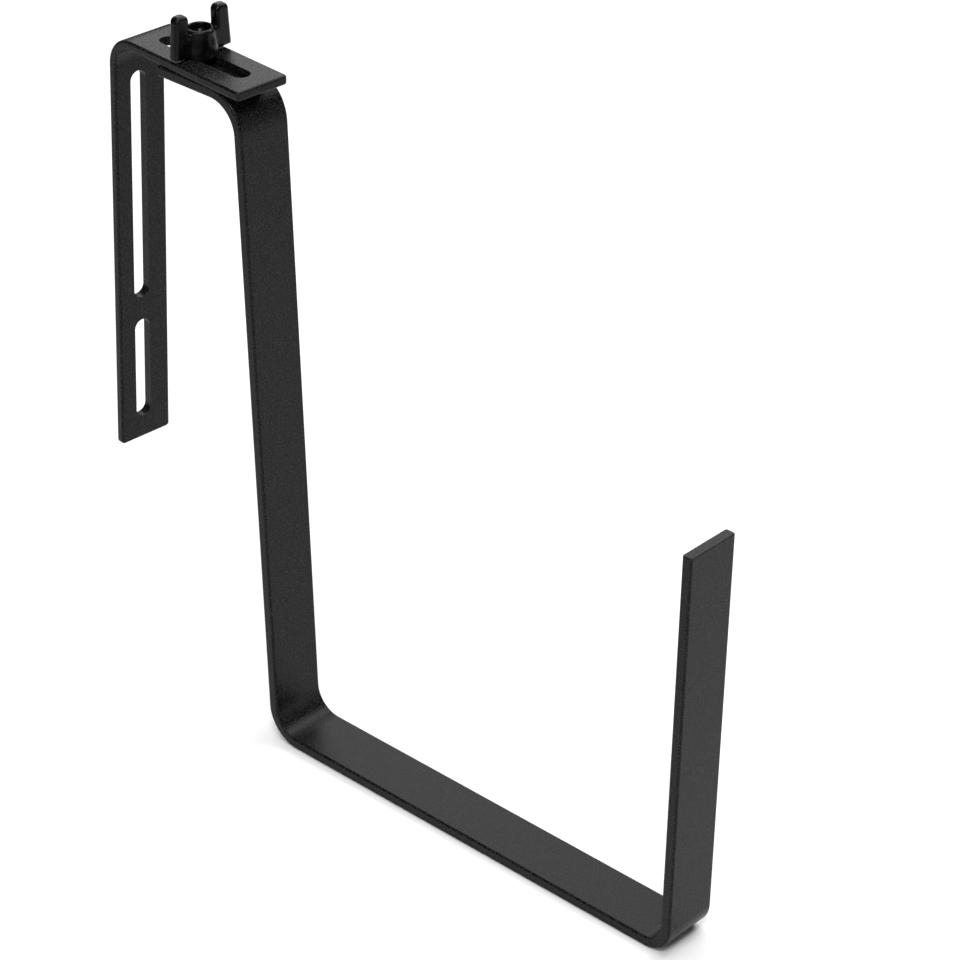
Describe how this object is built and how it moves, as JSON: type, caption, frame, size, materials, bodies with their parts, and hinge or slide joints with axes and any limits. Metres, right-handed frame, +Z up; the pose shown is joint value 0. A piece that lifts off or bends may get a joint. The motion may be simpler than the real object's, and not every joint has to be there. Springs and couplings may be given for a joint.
{
  "type": "balcony box bracket",
  "caption": "Bent flat-steel bracket that hangs a plant box on a railing: slotted hook, J-shaped arm, carriage bolt and wing nut.",
  "frame": {"origin": "on the underside of the arm's bottom run, midway between its bends: the face that the bracket stands on", "axes": "+Z up; +X from the railing towards the front lip; +Y along the railing, across the strips"},
  "size_m": [0.321, 0.0314, 0.3212],
  "materials": {
    "powder_coat": "matt black powder coat, finely textured",
    "bolt_steel": "blackened steel",
    "gloss_black": "glossy black paint on a casting"
  },
  "bodies": {
    "arm": {"box_arm": "powder_coat"},
    "hook": {"rail_hook": "powder_coat"},
    "screw": {"carriage_bolt": "bolt_steel"},
    "nut": {"wing_nut": "gloss_black"}
  },
  "joints": [
    {"name": "hook_slide", "type": "slide", "parent": "arm", "child": "hook", "axis": [0.9979, -0.0645, 0], "range_m": [-0.025, 0.015]},
    {"name": "nut_spin", "type": "hinge", "parent": "arm", "child": "nut", "pos_m": [-0.15475, 0.0008, 0.30215], "axis": [0, 0, 1], "range_deg": [0, 2160]},
    {"name": "screw_drop", "type": "slide", "parent": "arm", "child": "screw", "axis": [0, 0, 1], "range_m": [-0.006, 0]}
  ],
  "couplings": [
    {"joint": "screw_drop", "follows": "nut_spin", "m_per_rad": -0.00015915}
  ]
}
